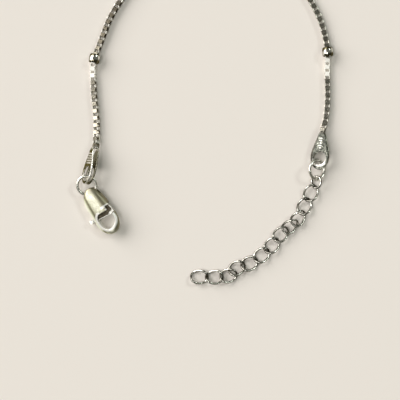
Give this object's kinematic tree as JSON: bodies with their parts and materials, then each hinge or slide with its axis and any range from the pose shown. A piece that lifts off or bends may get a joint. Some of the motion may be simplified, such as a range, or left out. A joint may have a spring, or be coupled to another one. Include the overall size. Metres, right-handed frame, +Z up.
{
  "type": "chain bracelet",
  "caption": "Slim silver box-chain bracelet with barrel beads, folded end tags, a lobster clasp with a sprung lever and a curb-link extender, lying open.",
  "frame": {"origin": "middle of the bounding box's bottom, on the surface that the bracelet lies on", "axes": "+Z up off that surface, +Y from the clasp and extender towards the far side of the loop, +X towards the extender's side, so the clasp is on -X"},
  "size_m": [0.0604, 0.0806, 0.0043],
  "materials": {
    "polished_silver": "polished",
    "satin_silver": "satin"
  },
  "bodies": {
    "bracelet": {"box_chain": "polished_silver", "left_bead": "polished_silver", "right_bead": "polished_silver", "left_tag": "polished_silver", "right_tag": "polished_silver", "left_jump_ring": "polished_silver", "right_jump_ring": "polished_silver", "connector_link": "polished_silver", "extender_link_01": "polished_silver", "extender_link_02": "polished_silver", "extender_link_03": "polished_silver", "extender_link_04": "polished_silver", "extender_link_05": "polished_silver", "extender_link_06": "polished_silver", "extender_link_07": "polished_silver", "extender_link_08": "polished_silver", "extender_link_09": "polished_silver", "extender_link_10": "polished_silver", "extender_link_11": "polished_silver", "extender_link_12": "polished_silver", "clasp_body": "satin_silver"},
    "lever": {"clasp_lever": "satin_silver"}
  },
  "joints": [
    {"name": "lever_pivot", "type": "hinge", "parent": "bracelet", "child": "lever", "pos_m": [-0.02409, -0.02126, 0.00183], "axis": [-0.1496, -0.0881, 0.9848], "range_deg": [-26, 0], "stiffness_Nm_per_rad": 0.001}
  ]
}
